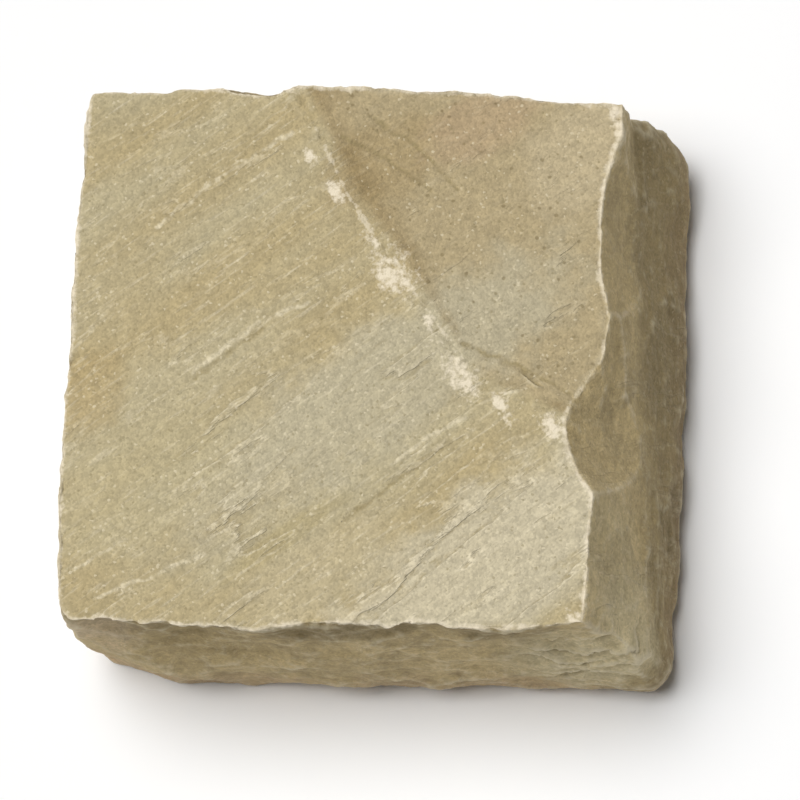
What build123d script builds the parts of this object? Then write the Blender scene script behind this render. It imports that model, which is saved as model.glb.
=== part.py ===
"""Hand-cut limestone cobble: one squat sett, split along its bed and dressed on four sides.

Millimetres. The sett stands on its bed at Z = 0, with Z up. X runs along the front
side and +Y points to the back. The origin is under the middle of the widest section.
"""
import os
from math import cos, radians, sin

from build123d import *

# Overall size, at the widest section
stone_width = 110
stone_depth = 105
stone_height = 44

# How far the riven face stands in from the widest section, and the swell of its left side
face_in_left = 2.2
face_in_right_front = 12.6
face_in_right_back = 10.9
face_in_front = 1.1
face_in_back = 0.6
face_swell_left = 1.9
face_swell_right = 0.4

# How far the shoulder stands in from the widest section
shoulder_in_left = 1.8
shoulder_in_right_front = 2.8
shoulder_in_right_back = 9.6
shoulder_in_front = 0.6
shoulder_in_back = 0.5
shoulder_swell_left = 1.2
shoulder_swell_right = 0.5

# The widest section bulges on its left and right sides, and the bed stands in all round
belly_swell_left = 0.8
belly_swell_right = 1.2
bed_in = 2.6
bed_swell = 0.6

# Heights of the shoulder and of the widest section, and the slant of both round the stone
shoulder_height = 28
belly_height = 10.5
section_slant = 4

# Rounding of the upright corners, from the front left one, counter-clockwise
face_corners = (4.5, 1.2, 2.0, 4.0)
shoulder_corners = (6.0, 2.5, 4.0, 5.0)
belly_corners = (8.0, 5.5, 6.5, 8.0)
bed_corners = (10.0, 8.0, 9.0, 10.0)
side_bend = 60

# Split ledge: the riven face breaks off along a ridge, and dips to the back right corner.
# The ridge and the foot of its scarp are given from that corner of the face, along X and Y.
ridge_line = [(-63.7, 9), (-48.6, -20.6), (-39.9, -33.3), (-29, -47.6), (-24.3, -57.5), (-16.7, -59), (12, -72)]
scarp_foot = [(-59.7, 9), (-44, -20.8), (-34.9, -30), (-26.3, -45), (-20.3, -51), (-12.2, -54), (12, -63)]
ledge_overrun = 12
ledge_drop = 1.3
ledge_dip = 6.2
ledge_bearing = 31

# Notch that a blow left in the right arris, measured from the back of the face.
# It leans out more than the side does, so that it runs out on the shoulder.
notch_from_back = 63.5
notch_width = 31
notch_depth = 5
notch_rake = 33

# Flake that came off along the arris behind the notch. It runs out on the side.
flake_width = 9.5
flake_depth = 1.2
flake_length = 25
flake_below = 7.5
flake_tilt = 5.5

# Flutes that the dressing blows left along the sides. Those struck down from the riven
# face rake outwards and run out, and the others cross the crest of the side.
flute_width = 24
flute_depth = 1.1
flute_pitch = 22
flute_sway = 4
flute_slant = 14
flute_rake = 4
sway_turn = 2.4

# Coves that the pitching tool left under the arris of the front, back and left sides.
# Two cross on each side: each is deep at one end of it, and runs out towards the other.
cove_width = 17
cove_depth = 0.9
cove_below = 10.5
cove_stagger = 3
cove_turn = 1.4
cove_slant = 2.5

# Front left corner: a facet that starts from the riven face and takes more off the bed,
# and a chip that came off the front side under the arris
facet_turn = 17
facet_lean = 7.7
facet_size = 60
chip_width = 17
chip_depth = 3.8
chip_below = 6.8

# Spall on the broken front right corner, measured down from the riven face
spall_width = 21
spall_depth = 2.2
spall_below = 25

half_width = stone_width / 2
half_depth = stone_depth / 2
face_left = face_in_left - half_width
face_right_front = half_width - face_in_right_front
face_right_back = half_width - face_in_right_back
face_front = face_in_front - half_depth
face_back = half_depth - face_in_back
shoulder_right = half_width - (shoulder_in_right_front + shoulder_in_right_back) / 2


def slanted(height):
    """Plane at a height, tipped so that it runs down to the front and the right."""
    return Plane.XY.offset(height).rotated((section_slant / 2, section_slant, 0))


def outline(left, right_front, right_back, front, back, swell_left, swell_right):
    """Corners of a section, with the middle of its left and right sides swelling outwards."""
    right_middle = (right_front + right_back) / 2
    return [
        (left, front),
        (right_front, front),
        (right_middle + swell_right, 0),
        (right_back, back),
        (left, back),
        (left - swell_left, 0),
    ]


def hollow_radius(width, depth):
    """Radius of a round hollow that is this wide and this deep in a flat side."""
    return (width ** 2 / 4 + depth ** 2) / (2 * depth)


sections = [
    (
        Plane.XY,
        outline(
            bed_in - half_width,
            half_width - bed_in,
            half_width - bed_in,
            bed_in - half_depth,
            half_depth - bed_in,
            bed_swell,
            bed_swell,
        ),
        bed_corners,
    ),
    (
        slanted(belly_height),
        outline(
            belly_swell_left - half_width,
            half_width - belly_swell_right,
            half_width - belly_swell_right,
            -half_depth,
            half_depth,
            belly_swell_left,
            belly_swell_right,
        ),
        belly_corners,
    ),
    (
        slanted(shoulder_height),
        outline(
            shoulder_in_left - half_width,
            half_width - shoulder_in_right_front,
            half_width - shoulder_in_right_back,
            shoulder_in_front - half_depth,
            half_depth - shoulder_in_back,
            shoulder_swell_left,
            shoulder_swell_right,
        ),
        shoulder_corners,
    ),
    (
        Plane.XY.offset(stone_height),
        outline(
            face_left,
            face_right_front,
            face_right_back,
            face_front,
            face_back,
            face_swell_left,
            face_swell_right,
        ),
        face_corners,
    ),
]

# Each row of flutes: a plane on its edge or crest that faces outwards and lies as the
# side leans there, the length of the side, the rake, and the place of its first flute
rise = stone_height - belly_height
shoulder_lean = (half_width - shoulder_right) / (shoulder_height - belly_height)
shoulder_run = (shoulder_in_right_front - shoulder_in_right_back, stone_depth, 0)
shoulder_normal = (stone_depth, -shoulder_run[0], stone_depth * shoulder_lean)
flute_rows = [
    (Plane((0, face_front, stone_height), (1, 0, 0), (0, -rise, face_in_front)), stone_width, flute_rake, 0),
    (Plane((0, -half_depth, belly_height), (1, 0, 0), (0, -1, 0)), stone_width, 0, 1),
    (Plane((shoulder_right, 0, shoulder_height), shoulder_run, shoulder_normal), stone_depth, 0, 1),
    (Plane((half_width, 0, belly_height), (0, 1, 0), (1, 0, 0)), stone_depth, 0, 0),
    (Plane((0, face_back, stone_height), (-1, 0, 0), (0, rise, face_in_back)), stone_width, flute_rake, 1),
    (Plane((0, half_depth, belly_height), (-1, 0, 0), (0, 1, 0)), stone_width, 0, 0),
    (Plane((face_left - face_swell_left, 0, stone_height), (0, -1, 0), (-1, 0, 0)), stone_depth, flute_rake, 0),
    (Plane((-half_width, 0, belly_height), (0, -1, 0), (-1, 0, 0)), stone_depth, 0, 1),
]

# Sides with coves: a plane on the arris that faces outwards, and the length of the side
cove_sides = [
    (Plane((0, face_front, stone_height), (1, 0, 0), (0, -1, 0)), stone_width),
    (Plane((0, face_back, stone_height), (-1, 0, 0), (0, 1, 0)), stone_width),
    (Plane((face_left - face_swell_left, 0, stone_height), (0, -1, 0), (-1, 0, 0)), stone_depth),
]

with BuildPart() as cobble:
    # Body: the dressed sides between the bed and the riven face
    for plane, points, corners in sections:
        front_left, front_right, back_right, back_left = corners
        with BuildSketch(plane):
            with BuildLine():
                radii = [front_left, front_right, side_bend, back_right, back_left, side_bend]
                FilletPolyline(*points, radius=radii, close=True)
            make_face()
    loft(ruled=True)

    # Ledge: its floor dips away from the ridge, and a broken scarp joins the two
    far_corner = (ledge_overrun, ledge_overrun)
    dip = radians(ledge_dip)
    bearing = radians(ledge_bearing)
    floor_x, floor_y = scarp_foot[2]
    floor_plane = Plane(
        origin=(face_right_back + floor_x, face_back + floor_y, stone_height - ledge_drop),
        x_dir=(1, 0, 0),
        z_dir=(sin(dip) * cos(bearing), sin(dip) * sin(bearing), cos(dip)),
    )
    with BuildSketch(floor_plane):
        with BuildLine():
            Polyline(*[(x - floor_x, y - floor_y) for x, y in scarp_foot + [far_corner]], close=True)
        make_face()
    with BuildSketch(Plane((face_right_back, face_back, stone_height))):
        with BuildLine():
            Polyline(*ridge_line, far_corner, close=True)
        make_face()
    loft(ruled=True, mode=Mode.SUBTRACT)

    # Notch in the right arris: the raked cut is as deep as stated where it meets the face
    notch_radius = hollow_radius(notch_width, notch_depth)
    notch_x = face_right_front + notch_radius - notch_depth
    cut_radius = notch_radius * cos(radians(notch_rake))
    with Locations((notch_x, face_back - notch_from_back, stone_height)):
        Cylinder(cut_radius, 2 * stone_height, rotation=(0, -notch_rake, 0), mode=Mode.SUBTRACT)

    # Flake behind the notch, along the arris
    flake_radius = hollow_radius(flake_width, flake_depth)
    face_right = (face_right_front + face_right_back) / 2
    flake_origin = (face_right, face_back - notch_from_back + (flake_length + notch_width) / 4, stone_height)
    flake_normal = (stone_height - shoulder_height, 0, shoulder_right - face_right)
    with Locations(Plane(flake_origin, (0, 1, 0), flake_normal).offset(flake_radius - flake_depth)):
        with Locations((0, -flake_below)):
            Cylinder(flake_radius, flake_length, rotation=(0, 90 - flake_tilt, 0), mode=Mode.SUBTRACT)

    # Coves, two to a side, turned and slanted opposite ways
    cove_radius = hollow_radius(cove_width, cove_depth)
    for plane, length in cove_sides:
        with Locations(plane.offset(cove_radius - cove_depth)):
            for way in (-1, 1):
                with Locations(Location((0, way * cove_stagger / 2 - cove_below, 0), (0, 0, way * cove_slant))):
                    turn = (0, 90 + way * cove_turn, 0)
                    Cylinder(cove_radius, 2 * length, rotation=turn, mode=Mode.SUBTRACT)

    # Flutes, staggered from row to row, unevenly spaced and slanted
    flute_radius = hollow_radius(flute_width, flute_depth)
    for plane, length, rake, first in flute_rows:
        count = round(length / flute_pitch)
        with Locations(plane.offset(flute_radius - flute_depth)):
            for index in range(first, count, 2):
                along = (index - (count - 1) / 2) * flute_pitch + flute_sway * sin(sway_turn * index)
                slant = flute_slant * cos(sway_turn * index)
                with Locations(Location((along, 0, 0), (0, 0, slant))):
                    Cylinder(flute_radius, 2 * stone_height, rotation=(90 - rake, 0, 0), mode=Mode.SUBTRACT)

    # Facet on the front left corner, and the chip beside it
    with Locations(Location((face_left, face_front, stone_height), (facet_lean, 0, -facet_turn))):
        facet_align = (Align.CENTER, Align.MAX, Align.CENTER)
        Box(2 * facet_size, facet_size, 2 * facet_size, align=facet_align, mode=Mode.SUBTRACT)
    chip_radius = hollow_radius(chip_width, chip_depth)
    chip_plane = Plane((face_left + chip_width / 2, face_front, stone_height), (1, 0, 0), (0, -1, 0))
    with Locations(chip_plane.offset(chip_radius - chip_depth)):
        with Locations((0, -chip_below)):
            Sphere(chip_radius, mode=Mode.SUBTRACT)

    # Spall on the front right corner
    spall_radius = hollow_radius(spall_width, spall_depth)
    corner_inset = belly_corners[1] * (2 ** 0.5 - 1)
    spall_plane = Plane((half_width, -half_depth, stone_height), (1, 1, 0), (1, -1, 0))
    with Locations(spall_plane.offset(spall_radius - spall_depth - corner_inset)):
        with Locations((0, -spall_below)):
            Sphere(spall_radius, mode=Mode.SUBTRACT)

cobble.part.label = "cobble"
os.makedirs("parts", exist_ok=True)
export_step(cobble.part, "parts/cobble.step")
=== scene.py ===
import random
from functools import partial
from math import cos, pi, radians

import bmesh
import bpy
from mathutils import Euler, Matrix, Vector


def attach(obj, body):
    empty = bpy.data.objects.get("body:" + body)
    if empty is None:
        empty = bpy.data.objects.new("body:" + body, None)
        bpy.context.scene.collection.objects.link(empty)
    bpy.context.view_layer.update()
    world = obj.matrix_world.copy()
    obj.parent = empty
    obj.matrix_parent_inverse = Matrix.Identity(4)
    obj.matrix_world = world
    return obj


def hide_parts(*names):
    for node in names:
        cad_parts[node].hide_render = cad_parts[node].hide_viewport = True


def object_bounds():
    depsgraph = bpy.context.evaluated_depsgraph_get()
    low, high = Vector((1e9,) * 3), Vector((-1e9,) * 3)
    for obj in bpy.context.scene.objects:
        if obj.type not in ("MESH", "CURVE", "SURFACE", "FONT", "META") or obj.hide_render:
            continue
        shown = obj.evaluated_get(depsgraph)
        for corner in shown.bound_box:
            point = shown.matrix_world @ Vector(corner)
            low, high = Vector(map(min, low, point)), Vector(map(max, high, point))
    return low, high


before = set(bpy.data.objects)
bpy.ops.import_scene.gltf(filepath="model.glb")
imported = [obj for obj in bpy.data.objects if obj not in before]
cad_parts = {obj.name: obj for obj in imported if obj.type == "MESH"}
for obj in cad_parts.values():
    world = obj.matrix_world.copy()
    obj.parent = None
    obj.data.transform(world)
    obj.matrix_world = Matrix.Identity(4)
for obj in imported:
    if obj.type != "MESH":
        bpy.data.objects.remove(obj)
cadLow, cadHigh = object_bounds()
mm = 0.001


def linear(code):
    parts = [int(code[i:i + 2], 16) / 255 for i in (1, 3, 5)]
    return [c / 12.92 if c <= 0.04045 else ((c + 0.055) / 1.055) ** 2.4 for c in parts] + [1.0]


def addNode(tree, kind, feeds=None, **settings):
    node = tree.nodes.new(kind)
    for name, value in settings.items():
        setattr(node, name, value)
    for socket, value in (feeds or {}).items():
        if isinstance(value, bpy.types.Node):
            value = next(out for out in value.outputs if out.enabled)
        if isinstance(value, bpy.types.NodeSocket):
            tree.links.new(value, node.inputs[socket])
        else:
            node.inputs[socket].default_value = value
    return node


def pickOnly(piece):
    bpy.ops.object.select_all(action="DESELECT")
    piece.select_set(True)
    bpy.context.view_layer.objects.active = piece


def finishModifier(piece, kind, **settings):
    pickOnly(piece)
    bpy.ops.object.modifier_add(type=kind)
    modifier = piece.modifiers[-1]
    for name, value in settings.items():
        setattr(modifier, name, value)
    bpy.ops.object.modifier_apply(modifier=modifier.name)


# The stone starts as a copy of the CAD solid, with its loose triangles merged
pickOnly(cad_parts["cobble"])
bpy.ops.object.duplicate()
stone = bpy.context.object
stone.name = "rivenCobble"
stone.parent = None
for key in [key for key in stone.keys() if key.startswith("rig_")]:
    del stone[key]
bpy.ops.object.mode_set(mode="EDIT")
bpy.ops.mesh.select_all(action="SELECT")
bpy.ops.mesh.remove_doubles(threshold=0.001 * mm)
bpy.ops.object.mode_set(mode="OBJECT")
print("stone copied and merged:", len(stone.data.polygons), "faces")


# Lines of the solid that the relief measures from: wires copied off its sharp edges
def traceLine(name, wanted):
    pickOnly(stone)
    bpy.ops.object.mode_set(mode="EDIT")
    bpy.ops.mesh.select_mode(type="EDGE")
    bpy.ops.mesh.select_all(action="DESELECT")
    mesh = bmesh.from_edit_mesh(stone.data)
    for edge in mesh.edges:
        edge.select_set(wanted(edge))
    bmesh.update_edit_mesh(stone.data)
    bpy.ops.mesh.duplicate()
    bpy.ops.mesh.separate(type="SELECTED")
    bpy.ops.object.mode_set(mode="OBJECT")
    wire = next(piece for piece in bpy.context.selected_objects if piece is not stone)
    wire.name = name
    print(name, "traced:", len(wire.data.edges), "edges")
    return wire


# What tells the lines apart: the least bend in degrees, and heights in millimetres
bends = {"arris": 25, "ridge": 4, "shoulder": 9}
shoulderBand = (20, 40)


def upFaces(edge):
    return sum(face.normal.z > 0.85 for face in edge.link_faces)


def isArris(edge):
    return upFaces(edge) == 1 and edge.calc_face_angle() > radians(bends["arris"])


def isRidge(edge):
    atTop = all(vert.co.z > cadHigh.z - 0.05 * mm for vert in edge.verts)
    return atTop and upFaces(edge) == 2 and edge.calc_face_angle() > radians(bends["ridge"])


def isShoulder(edge):
    low, high = sorted(vert.co.z / mm for vert in edge.verts)
    inBand = low > shoulderBand[0] and high < shoulderBand[1]
    right = all(face.normal.x > 0.5 for face in edge.link_faces)
    return right and inBand and edge.calc_face_angle_signed() > radians(bends["shoulder"])


shoulder = traceLine("shoulderLine", isShoulder)

# Blows that dressed the sides, in millimetres: each knocks a shallow shell off the stone.
# The rows are scattered below the arris, and the last ones are placed one by one.
blows = {
    "rows": [
        {"count": 30, "radius": (10, 24), "depth": (0.2, 0.7), "below": (0.5, 4)},
        {"count": 18, "radius": (20, 42), "depth": (0.3, 0.7), "below": (9, 27)},
    ],
    "seed": 11,
    "outside": 12,             # how far outside the arris a blow starts
    "cleanSide": 36,           # left and right of this, and behind the next, the arris is clean
    "cleanBack": -8,
    "struck": [
        {"place": (49.0, -50.0, 38.5), "radius": 8, "depth": 0.9},
        {"place": (46.5, -52.5, 32.0), "radius": 9, "depth": 0.7},
        {"place": (31.0, -52.5, 23.0), "radius": 12, "depth": 0.8},
        {"place": (36.5, -52.5, 31.0), "radius": 10, "depth": 0.7},
        {"place": (-9.7, -52.5, 39.5), "radius": 12, "depth": 1.0},
        {"place": (-29.4, -52.5, 36.0), "radius": 16, "depth": 1.1},
        {"place": (13.0, -52.5, 41.0), "radius": 14, "depth": 1.3},
    ],
}


def cutAway(cutter):
    finishModifier(stone, "BOOLEAN", operation="DIFFERENCE", solver="MANIFOLD", object=cutter)
    bpy.data.objects.remove(cutter)


def strike(place, radius, depth):
    hit, facing = stone.closest_point_on_mesh(place)[1:3]
    centre = hit + facing * (radius - depth)
    bpy.ops.object.select_all(action="DESELECT")
    bpy.ops.mesh.primitive_ico_sphere_add(subdivisions=4, radius=radius, location=centre)
    cutAway(bpy.context.object)


def dressSides():
    draw = random.Random(blows["seed"])
    guide = traceLine("blowLine", isArris)
    ends = [[guide.data.vertices[end].co.copy() for end in edge.vertices] for edge in guide.data.edges]
    bpy.data.objects.remove(guide)
    lengths = [(b - a).length for a, b in ends]
    for row in blows["rows"]:
        for index in range(row["count"]):
            a, b = draw.choices(ends, lengths)[0]
            spot = a.lerp(b, draw.random())
            clean = abs(spot.x) > blows["cleanSide"] * mm and spot.y > blows["cleanBack"] * mm
            out = Vector((spot.x, spot.y, 0)).normalized()
            spot = spot + out * blows["outside"] * mm
            spot.z = cadHigh.z - draw.uniform(*row["below"]) * mm
            radius = draw.uniform(*row["radius"]) * mm
            depth = draw.uniform(*row["depth"]) * mm
            if not clean:
                strike(spot, radius, depth)
    for blow in blows["struck"]:
        strike(Vector(blow["place"]) * mm, blow["radius"] * mm, blow["depth"] * mm)
    print("sides dressed:", len(stone.data.polygons), "faces")


dressSides()

lines = {
    "arris": traceLine("arrisLine", isArris),
    "ridge": traceLine("ridgeLine", isRidge),
    "shoulder": shoulder,
}

# Open cracks, in millimetres and degrees: grooves cut by a bar that lies on its edge
cracks = [
    {"place": (43.1, -52.1, 23.7), "size": (8.0, 2.0, 2.0), "turn": (60, -20, 4)},
    {"place": (35.4, -52.3, 14.7), "size": (12, 1.7, 1.7), "turn": (60, -33, 0)},
    {"place": (30.7, -3.6, 43.6), "size": (5.4, 1.0, 3.2), "turn": (12, 0, -46)},
]
for crack in cracks:
    bpy.ops.object.select_all(action="DESELECT")
    place = Vector(crack["place"]) * mm
    turn = [radians(angle) for angle in crack["turn"]]
    bpy.ops.mesh.primitive_cube_add(size=1, location=place, rotation=turn, scale=Vector(crack["size"]) * mm)
    cutAway(bpy.context.object)
print("cracks cut:", len(stone.data.polygons), "faces")

body = {
    "grid": 0.5 * mm,          # edge length of the carving mesh
    "triangles": 195000,       # what is left after thinning
}
finishModifier(stone, "REMESH", mode="VOXEL", voxel_size=body["grid"])
print("stone meshed for carving:", len(stone.data.polygons), "faces")

# Bedding that the split follows, in millimetres: thin beds that broke off one above the other,
# so that their edges run across the riven face as ragged lines, nearly side by side
bedding = {
    "turn": 37,                # degrees from X
    "long": 42,
    "wide": 9,
    "levels": 4.5,             # how many beds their wander spans
    "lean": 15,                # width of a bed across the face
    "riser": 0.9,              # share of a bed where the rise to the next one starts
    "patch": 17,               # the edges show in patches of this width
    "fade": (-75, 60),         # from the back left to the front right they get bolder
    "ribLong": 7.5,
    "ribWide": 0.85,
}


def beddingSteps(tree, place):
    put = partial(addNode, tree)
    turned = put("ShaderNodeVectorRotate", {"Vector": place, "Angle": radians(-bedding["turn"])},
                 rotation_type="Z_AXIS")
    drawn = put("ShaderNodeVectorMath", {0: turned, 1: (1 / bedding["long"], 1 / bedding["wide"], 0.01)},
                operation="MULTIPLY")
    beds = put("ShaderNodeTexNoise", {"Vector": drawn, "Scale": 1.0, "Detail": 6.0, "Roughness": 0.56})
    across = put("ShaderNodeSeparateXYZ", {0: turned})
    across = put("ShaderNodeMath", {0: across.outputs["Y"], 1: -1 / bedding["lean"]}, operation="MULTIPLY")
    count = put("ShaderNodeMath", {0: beds, 1: bedding["levels"], 2: across}, operation="MULTIPLY_ADD")
    tread = put("ShaderNodeMath", {0: count}, operation="FRACT")
    riser = put("ShaderNodeMapRange", {"Value": tread, "From Min": bedding["riser"], "From Max": 1.0},
                interpolation_type="SMOOTHSTEP")
    patchy = put("ShaderNodeTexNoise", {"Vector": place, "Scale": 1 / bedding["patch"], "Detail": 3.0})
    patchy = put("ShaderNodeMapRange", {"Value": patchy, "From Min": 0.4, "From Max": 0.62, "To Min": 0.22,
                                        "To Max": 0.85})
    bolder = put("ShaderNodeVectorMath", {0: place, 1: (1, -1, 0)}, operation="DOT_PRODUCT").outputs["Value"]
    bolder = put("ShaderNodeMapRange", {"Value": bolder, "From Min": bedding["fade"][0],
                                        "From Max": bedding["fade"][1], "To Min": 0.45, "To Max": 1.4})
    patchy = put("ShaderNodeMath", {0: patchy, 1: bolder}, operation="MULTIPLY", use_clamp=True)
    step = put("ShaderNodeMath", {0: riser, 1: tread}, operation="SUBTRACT")
    step = put("ShaderNodeMath", {0: step, 1: patchy}, operation="MULTIPLY")
    edges = []
    for shift, reach in ((0.5, 0.1), (0.5 + 1.1 * (1 - bedding["riser"]), 0.13)):
        away = put("ShaderNodeMath", {0: count, 1: shift}, operation="ADD")
        away = put("ShaderNodeMath", {0: away}, operation="FRACT")
        away = put("ShaderNodeMath", {0: away, 1: 0.5}, operation="SUBTRACT")
        away = put("ShaderNodeMath", {0: away}, operation="ABSOLUTE")
        edge = put("ShaderNodeMapRange", {"Value": away, "From Min": reach, "From Max": 0.0},
                   interpolation_type="SMOOTHSTEP")
        edges.append(put("ShaderNodeMath", {0: edge, 1: patchy}, operation="MULTIPLY"))
    rib = put("ShaderNodeVectorMath", {0: turned, 1: (1 / bedding["ribLong"], 1 / bedding["ribWide"], 0.3)},
              operation="MULTIPLY")
    rib = put("ShaderNodeTexNoise", {"Vector": rib, "Scale": 1.0, "Detail": 3.0, "Roughness": 0.6})
    return step, rib, edges


# Seams that show one by one on the riven face: their corners, and how they wander, in millimetres
seams = {
    "wanderWide": 3.2,
    "wander": 2.4,
    "pale": [
        [(-30.7, -3.2), (-18.9, 6.0), (-10.2, 9.8)],
        [(19.4, -11.6), (12.1, -15.8), (7.1, -20.4)],
        [(-39.2, 24.1), (-27.0, 34.0), (-15.2, 42.2)],
        [(-51.0, -41.0), (-40.9, -34.9)],
        [(-46.0, -45.8), (-36.0, -41.8), (-26.6, -37.3)],
    ],
    "dark": [
        [(-1.3, -31.0), (9.0, -22.5), (17.0, -16.0)],
        [(-30.0, -4.2), (-18.2, 5.0)],
        [(-5.7, 41.8), (3.0, 37.4), (10.8, 32.1)],
        [(-1.5, 46.0), (8.0, 40.5), (15.5, 32.5)],
        [(29.1, -2.0), (32.2, -5.1)],
        [(18.4, 2.5), (28.6, -1.4), (38.0, -6.2)],
    ],
}


def seamCloseness(tree, place, kind, reach):
    put = partial(addNode, tree)
    wander = put("ShaderNodeTexNoise", {"Vector": place, "Scale": 1 / seams["wanderWide"], "Detail": 3.0})
    wander = put("ShaderNodeVectorMath", {0: wander.outputs["Color"], 1: (0.5, 0.5, 0.5)},
                 operation="SUBTRACT")
    wander = put("ShaderNodeVectorMath", {0: wander, 1: (seams["wander"], seams["wander"], 0)},
                 operation="MULTIPLY")
    spot = put("ShaderNodeVectorMath", {0: place, 1: (1, 1, 0)}, operation="MULTIPLY")
    spot = put("ShaderNodeVectorMath", {0: spot, 1: wander}, operation="ADD")
    least = None
    for corners in seams[kind]:
        for start, end in zip(corners, corners[1:]):
            a = Vector(start + (0,))
            run = Vector(end + (0,)) - a
            gone = put("ShaderNodeVectorMath", {0: spot, 1: a}, operation="SUBTRACT")
            share = put("ShaderNodeVectorMath", {0: gone, 1: run / run.length_squared},
                        operation="DOT_PRODUCT").outputs["Value"]
            share = put("ShaderNodeMath", {0: share, 1: 0.0}, operation="ADD", use_clamp=True)
            reached = put("ShaderNodeVectorMath", {0: run, "Scale": share}, operation="SCALE")
            away = put("ShaderNodeVectorMath", {0: gone, 1: reached}, operation="DISTANCE").outputs["Value"]
            least = put("ShaderNodeMath", {0: least, 1: away}, operation="MINIMUM") if least else away
    return put("ShaderNodeMapRange", {"Value": least, "From Min": reach, "From Max": 0.1},
               interpolation_type="SMOOTHSTEP")


# Relief that splitting and dressing leave, in millimetres
relief = {
    "warp": [(24, 1.3), (6, 0.7)],     # width and swing of the wander of edges
    "swellWide": 30,
    "swellDepth": 0.9,
    "stepHeight": 0.22,
    "ribDepth": 0.14,
    "seamDepth": 0.22,
    "ledgeTop": (43.7, 43.2),          # heights between which the face becomes the ledge
    "shells": [(25, 18, 1.2), (12, 9, 1.9), (5, 4, 0.6)],      # width, height and depth of dishes
    "shellPatch": 20,                  # they are deeper and shallower in patches of this width
    "rightShare": 0.6,                 # and shallower on the right side
    "roughWide": 2.4,
    "roughDepth": 0.55,
    "plateCorner": (42, -53, 24),      # thin plates that overlap at the front right corner
    "plateReach": (15, 7),
    "plateLap": 12,
    "plateHigh": 5.5,
    "plateDepth": 0.7,
    "laminaWide": 26,
    "laminaHigh": 2.0,
    "laminaDepth": 0.35,
    "nibbleWide": 3.0,
    "nibbleDepth": 0.7,
    "nibbleReach": 1.6,
    "bedDepth": 0.9,
    "markReach": 12.0,                 # distances to lines are kept up to this
}


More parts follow.
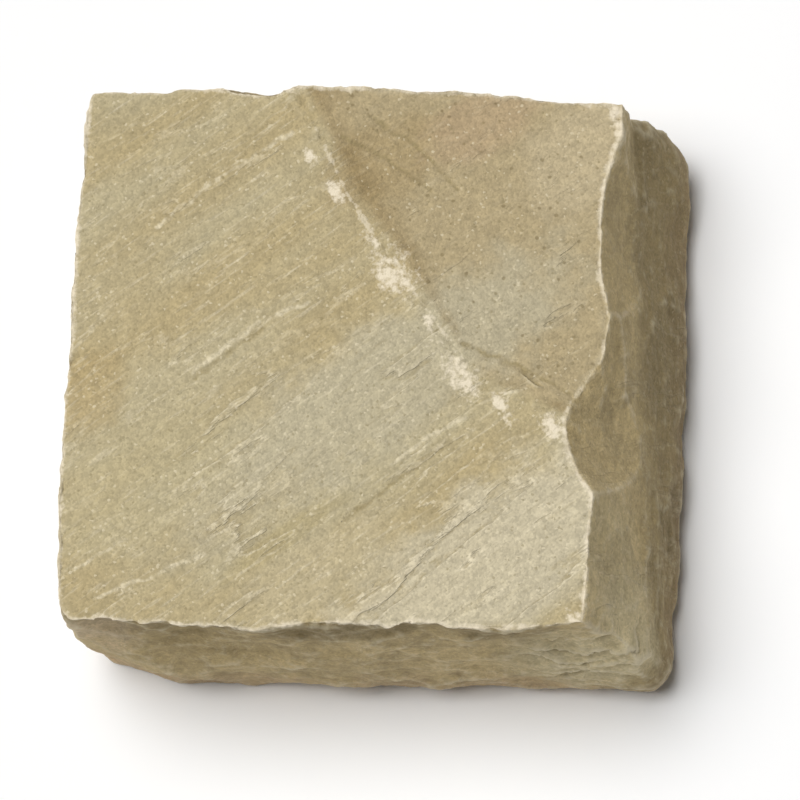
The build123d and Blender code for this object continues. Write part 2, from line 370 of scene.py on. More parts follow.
def carveRelief(stone):
    tree = bpy.data.node_groups.new("stone relief", "GeometryNodeTree")
    tree.interface.new_socket("Geometry", in_out="INPUT", socket_type="NodeSocketGeometry")
    tree.interface.new_socket("Geometry", in_out="OUTPUT", socket_type="NodeSocketGeometry")
    put = partial(addNode, tree)
    start = put("NodeGroupInput")
    spot = put("GeometryNodeInputPosition")
    facing = put("GeometryNodeInputNormal")
    place = put("ShaderNodeVectorMath", {0: spot, "Scale": 1 / mm}, operation="SCALE")
    tilt = put("ShaderNodeSeparateXYZ", {0: facing})
    height = put("ShaderNodeSeparateXYZ", {0: place})

    # Riven face, bed and sides are told apart by how they face
    onFace = put("ShaderNodeMapRange", {"Value": tilt.outputs["Z"], "From Min": 0.75, "From Max": 0.93},
                 interpolation_type="SMOOTHSTEP")
    onBed = put("ShaderNodeMapRange", {"Value": tilt.outputs["Z"], "From Min": -0.75, "From Max": -0.93},
                interpolation_type="SMOOTHSTEP")
    onSide = put("ShaderNodeMath", {0: 1.0, 1: onFace}, operation="SUBTRACT")
    onSide = put("ShaderNodeMath", {0: onSide, 1: onBed}, operation="SUBTRACT")
    onLedge = put("ShaderNodeMapRange", {"Value": height.outputs["Z"], "From Min": relief["ledgeTop"][0],
                                         "From Max": relief["ledgeTop"][1]})
    onLedge = put("ShaderNodeMath", {0: onLedge, 1: onFace}, operation="MULTIPLY")

    # Distances in millimetres to the traced lines
    away = {}
    for name, line in lines.items():
        line = put("GeometryNodeObjectInfo", {"Object": line})
        gap = put("GeometryNodeProximity", {0: line.outputs["Geometry"]}, target_element="EDGES")
        gap = put("ShaderNodeMath", {0: gap.outputs["Distance"], 1: 1 / mm}, operation="MULTIPLY")
        away[name] = put("ShaderNodeMath", {0: gap, 1: relief["markReach"]}, operation="MINIMUM")

    # Face: a slow swell, the edges and ribs of the beds, and open seams
    swell = put("ShaderNodeTexNoise", {"Vector": place, "Scale": 1 / relief["swellWide"], "Detail": 2.0})
    swell = put("ShaderNodeMath", {0: swell, 1: 0.5}, operation="SUBTRACT")
    swell = put("ShaderNodeMath", {0: swell, 1: relief["swellDepth"]}, operation="MULTIPLY")
    step, rib, edges = beddingSteps(tree, place)
    calm = put("ShaderNodeMapRange", {"Value": onLedge, "To Min": 1.0, "To Max": 0.3})
    step = put("ShaderNodeMath", {0: step, 1: calm}, operation="MULTIPLY")
    rib = put("ShaderNodeMath", {0: rib, 1: 0.5}, operation="SUBTRACT")
    faceLift = put("ShaderNodeMath", {0: step, 1: relief["stepHeight"], 2: swell}, operation="MULTIPLY_ADD")
    faceLift = put("ShaderNodeMath", {0: rib, 1: relief["ribDepth"], 2: faceLift}, operation="MULTIPLY_ADD")
    seam = seamCloseness(tree, place, "dark", 0.9)
    faceLift = put("ShaderNodeMath", {0: seam, 1: -relief["seamDepth"], 2: faceLift},
                   operation="MULTIPLY_ADD")

    # Edges wander to and fro
    wavy = None
    for wide, swing in relief["warp"]:
        sway = put("ShaderNodeTexNoise", {"Vector": place, "Scale": 1 / wide, "Detail": 3.0})
        sway = put("ShaderNodeVectorMath", {0: sway.outputs["Color"], 1: (0.5, 0.5, 0.5)},
                   operation="SUBTRACT")
        bend = put("ShaderNodeVectorMath", {0: sway, 1: (swing * mm, swing * mm, 0)}, operation="MULTIPLY")
        wavy = put("ShaderNodeVectorMath", {0: wavy, 1: bend}, operation="ADD") if wavy else bend

    # Sides: shells that meet in ridges, bedding laminae and a rough break
    share = put("ShaderNodeTexNoise", {"Vector": place, "Scale": 1 / relief["shellPatch"], "Detail": 1.0})
    share = put("ShaderNodeMapRange", {"Value": share, "From Min": 0.35, "From Max": 0.65, "To Min": 0.45})
    onRight = put("ShaderNodeMapRange", {"Value": tilt.outputs["X"], "From Min": 0.35, "From Max": 0.6,
                                         "To Min": 1.0, "To Max": relief["rightShare"]})
    share = put("ShaderNodeMath", {0: share, 1: onRight}, operation="MULTIPLY")
    sideLift = None
    scar = None
    for wide, high, depth in relief["shells"]:
        bent = put("ShaderNodeVectorMath", {0: sway, "Scale": 0.5 * wide}, operation="SCALE")
        bent = put("ShaderNodeVectorMath", {0: place, 1: bent}, operation="ADD")
        bent = put("ShaderNodeVectorMath", {0: bent, 1: (1 / wide, 1 / wide, 1 / high)}, operation="MULTIPLY")
        cell = put("ShaderNodeTexVoronoi", {"Vector": bent, "Scale": 1.0})
        shell = put("ShaderNodeMath", {0: cell.outputs["Distance"], 1: 2.0}, operation="POWER")
        shell = put("ShaderNodeMath", {0: shell, 1: 0.25}, operation="SUBTRACT")
        shell = put("ShaderNodeMath", {0: shell, 1: depth}, operation="MULTIPLY")
        sideLift = put("ShaderNodeMath", {0: shell, 1: sideLift}, operation="ADD") if sideLift else shell
        cellTone = put("ShaderNodeSeparateXYZ", {0: cell.outputs["Color"]}).outputs["X"]
        scar = put("ShaderNodeMath", {0: scar, 1: cellTone}, operation="ADD") if scar else cellTone
    sideLift = put("ShaderNodeMath", {0: sideLift, 1: share}, operation="MULTIPLY")
    laid = put("ShaderNodeVectorMath",
               {0: place, 1: (1 / relief["laminaWide"], 1 / relief["laminaWide"], 1 / relief["laminaHigh"])},
               operation="MULTIPLY")
    for way, scale, detail, depth in ((laid, 1.0, 3.0, "laminaDepth"),
                                      (place, 1 / relief["roughWide"], 5.0, "roughDepth")):
        grain = put("ShaderNodeTexNoise", {"Vector": way, "Scale": scale, "Detail": detail, "Roughness": 0.6})
        grain = put("ShaderNodeMath", {0: grain, 1: 0.5}, operation="SUBTRACT")
        sideLift = put("ShaderNodeMath", {0: grain, 1: relief[depth], 2: sideLift}, operation="MULTIPLY_ADD")

    # Plates at the front right corner, each set back under the one above
    stack = put("ShaderNodeVectorMath", {0: place, 1: (0.03, 0.02, 1 / relief["plateHigh"])},
                operation="DOT_PRODUCT").outputs["Value"]
    lap = put("ShaderNodeTexNoise", {"Vector": place, "Scale": 1 / relief["plateLap"], "Detail": 3.0})
    stack = put("ShaderNodeMath", {0: lap, 1: 3.0, 2: stack}, operation="MULTIPLY_ADD")
    stack = put("ShaderNodeMath", {0: stack}, operation="FRACT")
    corner = put("ShaderNodeVectorMath", {0: place, 1: relief["plateCorner"]},
                 operation="DISTANCE").outputs["Value"]
    corner = put("ShaderNodeMapRange", {"Value": corner, "From Min": relief["plateReach"][0],
                                        "From Max": relief["plateReach"][1], "To Max": -relief["plateDepth"]})
    sideLift = put("ShaderNodeMath", {0: stack, 1: corner, 2: sideLift}, operation="MULTIPLY_ADD")

    # Bites out of the arrises and the ridge
    bite = put("ShaderNodeTexNoise", {"Vector": place, "Scale": 1 / relief["nibbleWide"], "Detail": 4.0})
    bite = put("ShaderNodeMapRange", {"Value": bite, "From Min": 0.45, "From Max": 0.72,
                                      "To Max": -relief["nibbleDepth"]})
    edge = put("ShaderNodeMath", {0: away["arris"], 1: away["ridge"]}, operation="MINIMUM")
    edge = put("ShaderNodeMapRange", {"Value": edge, "From Min": relief["nibbleReach"], "From Max": 0.0})
    bite = put("ShaderNodeMath", {0: bite, 1: edge}, operation="MULTIPLY")

    # Bed: hollows only, so that it still rests on its plane
    worn = put("ShaderNodeTexNoise", {"Vector": place, "Scale": 1 / relief["swellWide"], "Detail": 5.0})
    worn = put("ShaderNodeMapRange", {"Value": worn, "From Min": 0.46, "From Max": 0.7,
                                      "To Max": -relief["bedDepth"]})

    lift = put("ShaderNodeMath", {0: faceLift, 1: onFace, 2: bite}, operation="MULTIPLY_ADD")
    lift = put("ShaderNodeMath", {0: sideLift, 1: onSide, 2: lift}, operation="MULTIPLY_ADD")
    lift = put("ShaderNodeMath", {0: worn, 1: onBed, 2: lift}, operation="MULTIPLY_ADD")
    lift = put("ShaderNodeMath", {0: lift, 1: mm}, operation="MULTIPLY")
    outward = put("GeometryNodeBlurAttribute", {"Value": facing, "Iterations": 5}, data_type="FLOAT_VECTOR")
    offset = put("ShaderNodeVectorMath", {0: outward, "Scale": lift}, operation="SCALE")
    offset = put("ShaderNodeVectorMath", {0: offset, 1: wavy}, operation="ADD")
    moved = put("ShaderNodeVectorMath", {0: spot, 1: offset}, operation="ADD")
    moved = put("ShaderNodeVectorMath", {0: moved, 1: (-1, -1, 0)}, operation="MAXIMUM")

    # Marks for the material: kinds of surface, distances to lines, and crests and hollows for the painted
    # highlight and shade
    made = start
    for name, value in [("side", onSide), ("ledge", onLedge), ("scar", scar)] + list(away.items()):
        made = put("GeometryNodeStoreNamedAttribute", {"Geometry": made, "Name": name, "Value": value},
                   data_type="FLOAT", domain="POINT")
    made = put("GeometryNodeSetPosition", {"Geometry": made, "Position": moved})
    soft = put("GeometryNodeBlurAttribute", {"Value": spot, "Iterations": 8}, data_type="FLOAT_VECTOR")
    proud = put("ShaderNodeVectorMath", {0: spot, 1: soft}, operation="SUBTRACT")
    proud = put("ShaderNodeVectorMath", {0: proud, 1: facing}, operation="DOT_PRODUCT")
    for name, low, high in (("crest", 0.03, 0.2), ("hollow", -0.03, -0.22)):
        mark = put("ShaderNodeMapRange", {"Value": proud.outputs["Value"], "From Min": low * mm,
                                          "From Max": high * mm})
        made = put("GeometryNodeStoreNamedAttribute", {"Geometry": made, "Name": name, "Value": mark},
                   data_type="FLOAT", domain="POINT")
    put("NodeGroupOutput", {"Geometry": made})
    finishModifier(stone, "NODES", node_group=tree)


carveRelief(stone)
print("relief carved")
for wire in lines.values():
    bpy.data.objects.remove(wire)
thinning = body["triangles"] / (2 * len(stone.data.polygons))
finishModifier(stone, "DECIMATE", ratio=thinning, use_collapse_triangulate=True)
print("stone thinned to", len(stone.data.polygons), "triangles")

# Limestone, split and dressed by hand: matt, sandy to the touch, streaked along its bedding,
# with iron-stained zones and pale crushed grain where the tools struck
limestone = {
    "tan": "#b6a57c",
    "grey": "#bbb08f",
    "bandLong": 60,
    "bandWide": 16,
    # paleEdge also gives the painted highlight on the crests
    "paleEdge": "#e0d4b6",
    # darkEdge also gives painted shade at the foot of the bed edges and in the seams
    "darkEdge": "#978861",
    "ledge": "#b2a17c",
    # scarp is painted shade, brown, on the scarp under the ridge
    "scarp": "#957f55",
    "side": "#b8a478",
    "blotch": "#8a7748",
    "rust": "#b4977a",
    "crushed": "#f3e6cc",
    # shade is painted shade: in the bays under the arris, on the right side, in hollows and in pits
    "shade": "#75653f",
    "grain": 0.42,             # millimetres, drawn coarser than the real sand so that it shows
    "crumb": 1.7,              # and the next sizes, in millimetres
    "crushedCrumb": 1.1,
    "pit": 2.2,
    "patch": 6,
    "bay": 18,
    # The next two give painted shade on the right side, which darkens it this way
    "paintedShadeWay": (1.0, 0.12, -0.62),    # the right side darkens this way
    "paintedShadeReach": (30, 36),
    "sparedCorner": (38.5, -4.5, 0),   # the notch, which was not crushed
    "sparedReach": (9, 5),
    "roughness": 0.92,
    "ior": 1.5,
}
# Tints along the face: place and half sizes in millimetres, lying along the bedding
tints = [
    {"place": (4, -6), "size": (48, 13), "colour": "#bdb396", "strength": 0.8},
    {"place": (26, -38), "size": (40, 15), "colour": "#cabfa2", "strength": 0.9},
    {"place": (-12, -34), "size": (13, 2.4), "colour": "#b09f6d", "strength": 0.4},
    {"place": (-38, -24), "size": (24, 12), "colour": "#bfb28c", "strength": 0.5},
    {"place": (-6, -42), "size": (20, 8), "colour": "#c2b593", "strength": 0.6},
    {"place": (-52, -8), "size": (12, 8), "colour": "#b49d6d", "strength": 0.5},
    # This one is painted shade on the ledge beside the scarp
    {"place": (2, 37), "size": (13, 8), "colour": "#a8946c", "strength": 0.8},
    {"place": (20, 46), "size": (14, 7), "colour": "#b89e7c", "strength": 0.5},
    {"place": (40, 40), "size": (16, 12), "colour": "#c2b28f", "strength": 0.8},
]
# Fresh breaks on the sides, paler, and painted shade in two struck scallops at the front left, darker: place
# and reach in millimetres
sideBreaksAndShade = [
    {"place": (41, -53, 23), "reach": 18, "colour": "#c4b690", "strength": 0.85},
    {"place": (46, -36, 38), "reach": 17, "colour": "#c9b78b", "strength": 0.75},
    {"place": (50, -46, 30), "reach": 12, "colour": "#c4b690", "strength": 0.5},
    {"place": (-48, -50, 34), "reach": 10, "colour": "#c9b596", "strength": 0.6},
    # The next two are painted shade in the struck scallops
    {"place": (-28, -52, 32), "reach": 16, "colour": "#8f7c50", "strength": 0.45},
    {"place": (-8, -52, 38), "reach": 10, "colour": "#85734a", "strength": 0.4},
]
# Crushed patches where the blows fell, drawn out along the ridge: place and radius in millimetres
bruises = {
    "turn": -54,               # degrees from X
    "long": 1.9,               # times as long as wide
    "spots": [(4.8, 15.8, 3.4), (18.2, -3.0, 3.2), (35.6, -13.2, 1.9), (12, 6.5, 1.2), (26, -9.2, 1.6),
              (-11.5, 38, 1.3), (-6.5, 31, 1.5), (1.0, 21.5, 1.3), (45, 47, 2.0), (41.5, -49.5, 2.0)],
}


def limestoneMaterial():
    material = bpy.data.materials.new("riven limestone")
    material.use_nodes = True
    tree = material.node_tree
    tree.nodes.clear()
    put = partial(addNode, tree)
    where = put("ShaderNodeTexCoord").outputs["Object"]
    where = put("ShaderNodeVectorMath", {0: where, "Scale": 1 / mm}, operation="SCALE")
    flat = put("ShaderNodeVectorMath", {0: where, 1: (1, 1, 0)}, operation="MULTIPLY")
    turned = put("ShaderNodeVectorRotate", {"Vector": where, "Angle": radians(-bedding["turn"])},
                 rotation_type="Z_AXIS")
    mark = {name: put("ShaderNodeAttribute", attribute_name=name).outputs["Fac"]
            for name in ("side", "ledge", "scar", "arris", "ridge", "shoulder", "crest", "hollow")}
    patches = put("ShaderNodeTexNoise", {"Vector": where, "Scale": 1 / limestone["patch"], "Detail": 5.0})
    ragged = put("ShaderNodeMath", {0: patches, 1: 0.5}, operation="SUBTRACT")
    crumbs = put("ShaderNodeTexNoise", {"Vector": where, "Scale": 1 / limestone["crumb"], "Detail": 4.0,
                                        "Roughness": 0.6})

    # Zones of tan, grey and iron stain. A colour mix has its share on socket 0, its colours on 6 and 7.
    band = put("ShaderNodeVectorMath",
               {0: turned, 1: (1 / limestone["bandLong"], 1 / limestone["bandWide"], 0.05)},
               operation="MULTIPLY")
    band = put("ShaderNodeTexNoise", {"Vector": band, "Scale": 1.0, "Detail": 4.0})
    band = put("ShaderNodeMapRange", {"Value": band, "From Min": 0.4, "From Max": 0.6, "To Max": 0.7})
    colour = put("ShaderNodeMix", {0: band, 6: linear(limestone["tan"]), 7: linear(limestone["grey"])},
                 data_type="RGBA")
    colour = put("ShaderNodeMix", {0: mark["ledge"], 6: colour, 7: linear(limestone["ledge"])},
                 data_type="RGBA")
    for tint in tints:
        centre = Vector(tint["place"] + (0,))
        centre.rotate(Euler((0, 0, -radians(bedding["turn"]))))
        off = put("ShaderNodeVectorMath", {0: turned, 1: centre}, operation="SUBTRACT")
        off = put("ShaderNodeVectorMath", {0: off, 1: (1 / tint["size"][0], 1 / tint["size"][1], 0)},
                  operation="MULTIPLY")
        off = put("ShaderNodeVectorMath", {0: off}, operation="LENGTH")
        off = put("ShaderNodeMath", {0: off.outputs["Value"], 1: ragged}, operation="ADD")
        amount = put("ShaderNodeMapRange", {"Value": off, "From Min": 1.15, "From Max": 0.55,
                                            "To Max": tint["strength"]}, interpolation_type="SMOOTHSTEP")
        colour = put("ShaderNodeMix", {0: amount, 6: colour, 7: linear(tint["colour"])}, data_type="RGBA")

    # Brown painted shade on the scarp under the ridge, wider at the back
    spot = put("ShaderNodeSeparateXYZ", {0: where})
    upper = put("ShaderNodeMapRange", {"Value": spot.outputs["Y"], "From Min": 8.0, "From Max": 30.0,
                                       "To Min": 2.5, "To Max": 9.0})
    amount = put("ShaderNodeMath", {0: ragged, 1: 9.0, 2: mark["ridge"]}, operation="MULTIPLY_ADD")
    amount = put("ShaderNodeMapRange", {"Value": amount, "From Min": upper, "From Max": 0.0, "To Max": 0.85})
    amount = put("ShaderNodeMath", {0: amount, 1: mark["ledge"]}, operation="MULTIPLY")
    colour = put("ShaderNodeMix", {0: amount, 6: colour, 7: linear(limestone["scarp"])}, data_type="RGBA")

    # Dressed sides: darker, blotched with iron, rusty low down, with painted shade in the bays under the
    # arris, painted shade on the right side, fresh breaks, and painted shade in two struck scallops
    blotch = put("ShaderNodeMapRange", {"Value": patches, "From Min": 0.5, "From Max": 0.75, "To Max": 0.12})
    side = put("ShaderNodeMix", {0: blotch, 6: linear(limestone["side"]), 7: linear(limestone["blotch"])},
               data_type="RGBA")
    rusty = put("ShaderNodeMath", {0: ragged, 1: 16.0, 2: spot.outputs["Z"]}, operation="MULTIPLY_ADD")
    rusty = put("ShaderNodeMapRange", {"Value": rusty, "From Min": 16.0, "From Max": 5.0, "To Max": 0.5})
    side = put("ShaderNodeMix", {0: rusty, 6: side, 7: linear(limestone["rust"])}, data_type="RGBA")
    # Painted shade in the bays under the arris, weaker on the right
    bays = put("ShaderNodeTexNoise", {"Vector": where, "Scale": 1 / limestone["bay"], "Detail": 2.0})
    under = put("ShaderNodeMath", {0: bays, 1: 34.0, 2: -17.0}, operation="MULTIPLY_ADD")
    under = put("ShaderNodeMath", {0: under, 1: mark["arris"]}, operation="ADD")
    under = put("ShaderNodeMath", {0: ragged, 1: 7.0, 2: under}, operation="MULTIPLY_ADD")
    under = put("ShaderNodeMapRange", {"Value": under, "From Min": 9.0, "From Max": 3.0, "To Max": 0.6})
    offRight = put("ShaderNodeMapRange", {"Value": spot.outputs["X"], "From Min": 41.0, "From Max": 37.0,
                                          "To Min": 0.15})
    under = put("ShaderNodeMath", {0: under, 1: offRight}, operation="MULTIPLY")
    side = put("ShaderNodeMix", {0: under, 6: side, 7: linear(limestone["shade"])}, data_type="RGBA")
    # Painted shade on the lower right side
    paintedRightShade = put("ShaderNodeVectorMath", {0: where, 1: limestone["paintedShadeWay"]},
                operation="DOT_PRODUCT").outputs["Value"]
    paintedRightShade = put("ShaderNodeMath", {0: ragged, 1: 8.0, 2: paintedRightShade}, operation="MULTIPLY_ADD")
    paintedRightShade = put("ShaderNodeMapRange", {"Value": paintedRightShade, "From Min": limestone["paintedShadeReach"][0],
                                       "From Max": limestone["paintedShadeReach"][1], "To Max": 0.55})
    side = put("ShaderNodeMix", {0: paintedRightShade, 6: side, 7: linear(limestone["shade"])}, data_type="RGBA")
    for tint in sideBreaksAndShade:
        off = put("ShaderNodeVectorMath", {0: where, 1: tint["place"]}, operation="DISTANCE").outputs["Value"]
        off = put("ShaderNodeMath", {0: ragged, 1: 14.0, 2: off}, operation="MULTIPLY_ADD")
        amount = put("ShaderNodeMapRange", {"Value": off, "From Min": tint["reach"],
                                            "From Max": tint["reach"] / 2, "To Max": tint["strength"]})
        side = put("ShaderNodeMix", {0: amount, 6: side, 7: linear(tint["colour"])}, data_type="RGBA")
    colour = put("ShaderNodeMix", {0: mark["side"], 6: colour, 7: side}, data_type="RGBA")

    # Edges, ribs and seams of the beds: the dark lines at the foot of the risers and in the seams are painted
    # shade, the dark ribs are tone
    step, rib, edges = beddingSteps(tree, where)
    onTop = put("ShaderNodeMapRange", {"Value": mark["side"], "From Max": 0.5, "To Min": 1.0, "To Max": 0.0})
    calm = put("ShaderNodeMath", {0: mark["side"], 1: mark["ledge"]}, operation="MAXIMUM")
    calm = put("ShaderNodeMapRange", {"Value": calm, "To Min": 1.0, "To Max": 0.2})
    broken = put("ShaderNodeMapRange", {"Value": crumbs, "From Min": 0.38, "From Max": 0.6, "To Min": 0.1})
    for kind, edge, share, low, high, most in (("dark", edges[1], 0.6, 0.42, 0.24, 0.35),
                                               ("pale", edges[0], 0.95, 0.57, 0.76, 0.55)):
        edge = put("ShaderNodeMath", {0: edge, 1: broken}, operation="MULTIPLY")
        edge = put("ShaderNodeMath", {0: edge, 1: share}, operation="MULTIPLY")
        ribs = put("ShaderNodeMapRange", {"Value": rib, "From Min": low, "From Max": high, "To Max": most})
        edge = put("ShaderNodeMath", {0: edge, 1: ribs}, operation="MAXIMUM")
        edge = put("ShaderNodeMath", {0: edge, 1: calm}, operation="MULTIPLY")
        seam = seamCloseness(tree, where, kind, 0.7)
        seam = put("ShaderNodeMath", {0: seam, 1: broken}, operation="MULTIPLY")
        seam = put("ShaderNodeMath", {0: seam, 1: onTop}, operation="MULTIPLY")
        seam = put("ShaderNodeMath", {0: seam, 1: 0.7}, operation="MULTIPLY")
        edge = put("ShaderNodeMath", {0: edge, 1: seam}, operation="MAXIMUM")
        colour = put("ShaderNodeMix", {0: edge, 6: colour, 7: linear(limestone[kind + "Edge"])},
                     data_type="RGBA")

    # Sand grains: each has its own tone, and a few are much paler or darker.
    # On the sides each scar and each thin bed has its own tone too.
    sand = put("ShaderNodeTexVoronoi", {"Vector": where, "Scale": 1 / limestone["grain"]})
    speck = put("ShaderNodeSeparateColor", {0: sand.outputs["Color"]}).outputs["Red"]
    tone = put("ShaderNodeMapRange", {"Value": speck, "To Min": 0.87, "To Max": 1.12})
    cloud = put("ShaderNodeMapRange", {"Value": crumbs, "From Min": 0.25, "From Max": 0.75, "To Min": 0.86,
                                       "To Max": 1.14})
    tone = put("ShaderNodeMath", {0: tone, 1: cloud}, operation="MULTIPLY")
    cloud = put("ShaderNodeMapRange", {"Value": patches, "From Min": 0.3, "From Max": 0.7, "To Min": 0.96,
                                       "To Max": 1.04})
    tone = put("ShaderNodeMath", {0: tone, 1: cloud}, operation="MULTIPLY")
    sideTone = put("ShaderNodeMapRange", {"Value": mark["scar"], "From Min": 0.7, "From Max": 2.3,
                                          "To Min": -0.13, "To Max": 0.13})
    layer = put("ShaderNodeVectorMath",
                {0: where, 1: (1 / relief["laminaWide"], 1 / relief["laminaWide"], 1 / relief["laminaHigh"])},
                operation="MULTIPLY")
    layer = put("ShaderNodeTexNoise", {"Vector": layer, "Scale": 1.0, "Detail": 5.0, "Roughness": 0.65})
    layer = put("ShaderNodeMapRange", {"Value": layer, "From Min": 0.3, "From Max": 0.7, "To Min": -0.1,
                                       "To Max": 0.1})
    shown = put("ShaderNodeMapRange", {"Value": bays, "From Min": 0.42, "From Max": 0.62})
    layer = put("ShaderNodeMath", {0: layer, 1: shown}, operation="MULTIPLY")
    sideTone = put("ShaderNodeMath", {0: sideTone, 1: layer}, operation="ADD")
    sideTone = put("ShaderNodeMath", {0: sideTone, 1: mark["side"], 2: 1.0}, operation="MULTIPLY_ADD")
    tone = put("ShaderNodeMath", {0: tone, 1: sideTone}, operation="MULTIPLY")
    colour = put("ShaderNodeVectorMath", {0: colour, "Scale": tone}, operation="SCALE")
    sparse = put("ShaderNodeMapRange", {"Value": mark["side"], "To Min": 1.0, "To Max": 0.3})
    for kind, low, high, most in (("paleEdge", 0.975, 0.99, 0.5), ("darkEdge", 0.03, 0.01, 0.35)):
        fleck = put("ShaderNodeMapRange", {"Value": speck, "From Min": low, "From Max": high, "To Max": most})
        fleck = put("ShaderNodeMath", {0: fleck, 1: sparse}, operation="MULTIPLY")
        colour = put("ShaderNodeMix", {0: fleck, 6: colour, 7: linear(limestone[kind])}, data_type="RGBA")

    # Dark spots on the ledge: painted shade of small pits that are not carved
    pits = put("ShaderNodeTexVoronoi", {"Vector": where, "Scale": 1 / limestone["pit"]})
    pits = put("ShaderNodeMath", {0: crumbs, 1: 0.5, 2: pits.outputs["Distance"]}, operation="MULTIPLY_ADD")
    pits = put("ShaderNodeMapRange", {"Value": pits, "From Min": 0.42, "From Max": 0.34, "To Max": 0.5})
    pits = put("ShaderNodeMath", {0: pits, 1: mark["ledge"]}, operation="MULTIPLY")
    colour = put("ShaderNodeMix", {0: pits, 6: colour, 7: linear(limestone["shade"])}, data_type="RGBA")

    # Painted shade in the hollows, and a painted highlight on the crests
    hollow = put("ShaderNodeMapRange", {"Value": mark["side"], "To Min": 0.25, "To Max": 0.5})
    hollow = put("ShaderNodeMath", {0: mark["hollow"], 1: hollow}, operation="MULTIPLY")
    colour = put("ShaderNodeMix", {0: hollow, 6: colour, 7: linear(limestone["shade"])}, data_type="RGBA")
    # Painted highlight on the crests
    crest = put("ShaderNodeMapRange", {"Value": mark["side"], "To Min": 0.3, "To Max": 0.5})
    crest = put("ShaderNodeMath", {0: mark["crest"], 1: crest}, operation="MULTIPLY")
    colour = put("ShaderNodeMix", {0: crest, 6: colour, 7: linear(limestone["paleEdge"])}, data_type="RGBA")

    # Crushed grain on the arrises, the ridge, the bruises and, faintly, the shoulder
    crumbled = put("ShaderNodeTexNoise", {"Vector": where, "Scale": 1 / limestone["crushedCrumb"],
                                          "Detail": 5.0, "Roughness": 0.65})
    spared = put("ShaderNodeVectorMath", {0: flat, 1: limestone["sparedCorner"]},
                 operation="DISTANCE").outputs["Value"]
    spared = put("ShaderNodeMapRange", {"Value": spared, "From Min": limestone["sparedReach"][0],
                                        "From Max": limestone["sparedReach"][1], "To Max": 0.7})
    struck = None
    for name, reach, most in (("arris", 0.8, 0.85), ("ridge", 0.3, 0.5), ("shoulder", 0.5, 0.15)):
        worn = put("ShaderNodeMath", {0: crumbled, 1: -2.6, 2: 1.3}, operation="MULTIPLY_ADD")
        worn = put("ShaderNodeMath", {0: ragged, 1: 2.6, 2: worn}, operation="MULTIPLY_ADD")
        worn = put("ShaderNodeMath", {0: mark[name], 1: worn}, operation="ADD")
        worn = put("ShaderNodeMath", {0: spared, 1: worn}, operation="ADD")
        worn = put("ShaderNodeMapRange", {"Value": worn, "From Min": reach, "From Max": -0.1, "To Max": most})
        struck = put("ShaderNodeMath", {0: struck, 1: worn}, operation="MAXIMUM") if struck else worn
    for x, y, radius in bruises["spots"]:
        off = put("ShaderNodeVectorMath", {0: flat, 1: (x, y, 0)}, operation="SUBTRACT")
        off = put("ShaderNodeVectorRotate", {"Vector": off, "Angle": radians(-bruises["turn"])},
                  rotation_type="Z_AXIS")
        off = put("ShaderNodeVectorMath", {0: off, 1: (1 / radius / bruises["long"], 1 / radius, 0)},
                  operation="MULTIPLY")
        off = put("ShaderNodeVectorMath", {0: off}, operation="LENGTH")
        off = put("ShaderNodeMath", {0: ragged, 1: 2.2, 2: off.outputs["Value"]}, operation="MULTIPLY_ADD")
        off = put("ShaderNodeMath", {0: crumbled, 1: -3.0, 2: off}, operation="MULTIPLY_ADD")
        worn = put("ShaderNodeMapRange", {"Value": off, "From Min": -0.6, "From Max": -1.3, "To Max": 0.9})
        worn = put("ShaderNodeMath", {0: worn, 1: onTop}, operation="MULTIPLY")
        struck = put("ShaderNodeMath", {0: struck, 1: worn}, operation="MAXIMUM")
    colour = put("ShaderNodeMix", {0: struck, 6: colour, 7: linear(limestone["crushed"])}, data_type="RGBA")

    # Bump sharpens the bed edges and the rough break of the sides, and gives sand and crumbs
    raised = put("ShaderNodeMath", {0: sand.outputs["Distance"], 1: -0.3, 2: step}, operation="MULTIPLY_ADD")
    raised = put("ShaderNodeMath", {0: crumbs, 1: 0.9, 2: raised}, operation="MULTIPLY_ADD")
    sideBreak = put("ShaderNodeMath", {0: patches, 1: mark["side"]}, operation="MULTIPLY")
    raised = put("ShaderNodeMath", {0: sideBreak, 1: 2.5, 2: raised}, operation="MULTIPLY_ADD")
    bump = put("ShaderNodeBump", {"Height": raised, "Strength": 0.7, "Distance": 0.35 * mm})
    shader = put("ShaderNodeBsdfPrincipled",
                 {"Base Color": colour, "Roughness": limestone["roughness"], "IOR": limestone["ior"],
                  "Normal": bump})
    put("ShaderNodeOutputMaterial", {"Surface": shader})
    return material


stone.data.materials.clear()
stone.data.materials.append(limestoneMaterial())
pickOnly(stone)
bpy.ops.object.shade_smooth()
print("limestone put on")
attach(stone, "root")
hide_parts("cobble")

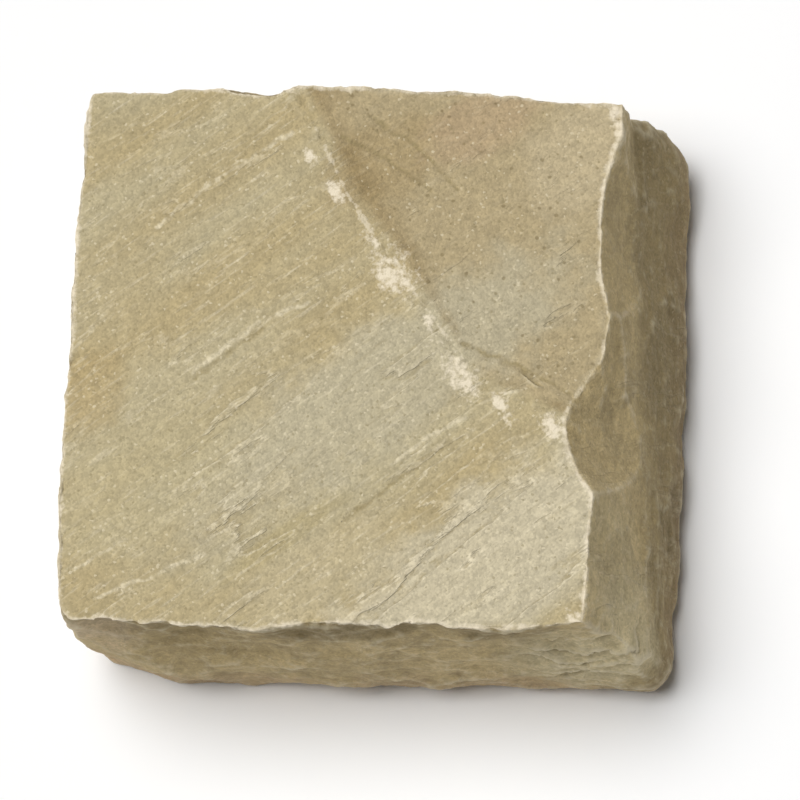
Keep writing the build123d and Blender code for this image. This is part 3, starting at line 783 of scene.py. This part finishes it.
# Floor, light and camera
studio = {
    "floorSize": 6.0,
    "floorColour": "#fdfdfd",
    "fill": 0.08,              # share of the light that comes evenly from all round
    "softness": 46,            # degrees that the overhead light spans
    "leanBack": 5,             # degrees that it leans to the back and to the left
    "leanLeft": 16,
}
bpy.ops.object.select_all(action="DESELECT")
bpy.ops.mesh.primitive_plane_add(size=studio["floorSize"])
floor = bpy.context.object
floor.name = "floor"
paper = bpy.data.materials.new("white paper")
paper.use_nodes = True
paper.node_tree.nodes["Principled BSDF"].inputs["Base Color"].default_value = linear(studio["floorColour"])
paper.node_tree.nodes["Principled BSDF"].inputs["Roughness"].default_value = 0.95
floor.data.materials.append(paper)

bpy.ops.object.light_add(type="SUN")
lamp = bpy.context.object
lamp.name = "overheadLight"
lamp.rotation_euler = Euler((radians(-studio["leanBack"]), radians(-studio["leanLeft"]), 0))
lamp.data.angle = radians(studio["softness"])
slant = cos(radians(studio["leanBack"])) * cos(radians(studio["leanLeft"]))
lamp.data.energy = pi * (1 - studio["fill"]) / slant

world = bpy.data.worlds.new("studio")
bpy.context.scene.world = world
world.use_nodes = True
world.node_tree.nodes.clear()
put = partial(addNode, world.node_tree)
path = put("ShaderNodeLightPath")
seen = put("ShaderNodeMath", {0: path.outputs["Is Camera Ray"], 1: path.outputs["Is Glossy Ray"]},
           operation="MAXIMUM")
seen = put("ShaderNodeMath", {0: seen, 1: path.outputs["Is Transmission Ray"]}, operation="MAXIMUM")
level = put("ShaderNodeMapRange", {"Value": seen, "To Min": studio["fill"], "To Max": 1.0})
sky = put("ShaderNodeBackground", {"Color": (1, 1, 1, 1), "Strength": level})
put("ShaderNodeOutputWorld", {"Surface": sky})

photoView = {
    "place": (0.2266, -0.4040, 1.4073),   # metres
    "tilt": 22.23,                        # degrees from straight down
    "aim": (0.004, -0.002, 0.022),
    "lens": 359,
}
bpy.ops.object.camera_add(location=photoView["place"])
camera = bpy.context.object
camera.data.lens = photoView["lens"]
camera.data.clip_end = 20
tilted = Euler((radians(photoView["tilt"]), 0, 0)).to_quaternion()
aim = Vector(photoView["aim"]) - Vector(photoView["place"])
turn = (tilted @ Vector((0, 0, -1))).rotation_difference(aim)
camera.rotation_mode = "QUATERNION"
camera.rotation_quaternion = turn @ tilted
bpy.context.scene.camera = camera
bpy.context.scene.view_settings.view_transform = "Standard"
print("floor, light and camera set")
